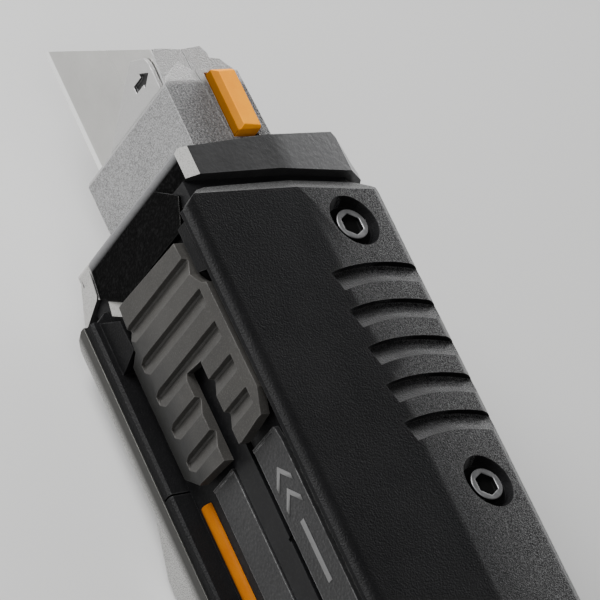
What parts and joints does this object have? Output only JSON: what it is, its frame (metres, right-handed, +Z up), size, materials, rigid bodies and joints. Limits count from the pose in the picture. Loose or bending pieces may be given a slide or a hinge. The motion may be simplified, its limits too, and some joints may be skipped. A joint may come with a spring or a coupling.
{
  "type": "utility knife",
  "caption": "Retractable utility knife with a quarter-turn head for scraping or cutting, thumb slider, release button, spare blade store and hinged tail cap.",
  "frame": {"origin": "centre of the bounding box's footprint, on the plane of the left side plate that the knife rests on", "axes": "+X along the handle from the blade to the tail cap, +Z up out of the right grip, -Y out of the thumb slider's face"},
  "size_m": [0.176, 0.0342, 0.0324],
  "materials": {
    "frame_black": "fine grain, dark",
    "steel": "plain",
    "collar_dark": "coated casting, orange-peel",
    "grip_rubber": "soft-touch, fine grain",
    "satin_metal": "satin cast",
    "insert_brass": "machined",
    "screw_dark": "dark zinc",
    "plate_grey": "pebble texture",
    "orange_gloss": "gloss",
    "print_light": "printed",
    "blade_steel": "satin ground",
    "cap_black": "fine grain",
    "nose_dark": "rough cast",
    "nose_light": "satin cast",
    "orange_satin": "satin",
    "carrier_grey": "phosphated",
    "slider_grey": "satin, ribbed",
    "bar_black": "semi gloss"
  },
  "bodies": {
    "handle": {"frame_right": "frame_black", "frame_left": "frame_black", "frame_screws": "steel", "front_collar": "collar_dark", "right_grip": "grip_rubber", "left_grip": "grip_rubber", "left_rear_grip": "grip_rubber", "left_side_plate": "satin_metal", "grip_inserts": "insert_brass", "right_grip_screws": "screw_dark", "left_grip_screws": "screw_dark", "spine_plate_right": "plate_grey", "spine_plate_left": "plate_grey", "accent_bar": "orange_gloss", "mode_mark": "print_light", "turn_detent_leaf": "steel", "slide_detent_leaf": "steel", "spare_blades": "blade_steel", "cap_pin": "steel"},
    "tail_cap": {"tail_cap": "cap_black"},
    "head": {"nose_body": "nose_dark", "nose_cover": "nose_light", "blade_guard": "nose_light", "button_spring": "steel"},
    "release_button": {"release_button": "orange_satin"},
    "carrier": {"blade_carrier": "carrier_grey", "carrier_hub": "carrier_grey", "blade": "blade_steel"},
    "slider": {"thumb_slider": "slider_grey", "slide_bar": "bar_black"}
  },
  "joints": [
    {"name": "slider_slide", "type": "slide", "parent": "handle", "child": "slider", "axis": [1, 0, 0], "range_m": [0, 0.03]},
    {"name": "head_turn", "type": "hinge", "parent": "handle", "child": "head", "pos_m": [-0.0588, -0.00185, 0.0188], "axis": [1, 0, 0], "range_deg": [0, 90]},
    {"name": "carrier_slide", "type": "slide", "parent": "head", "child": "carrier", "axis": [1, 0, 0], "range_m": [0, 0.03]},
    {"name": "button_press", "type": "slide", "parent": "head", "child": "release_button", "axis": [0, 0, -1], "range_m": [0, 0.0012], "stiffness_N_per_m": 800, "springref_m": -0.0006, "deforming": ["button_spring"]},
    {"name": "cap_open", "type": "hinge", "parent": "handle", "child": "tail_cap", "pos_m": [0.0754, 0.01355, 0.0178], "axis": [0, 0, 1], "range_deg": [0, 95]}
  ],
  "couplings": [
    {"joint": "carrier_slide", "follows": "slider_slide", "ratio": 1}
  ]
}
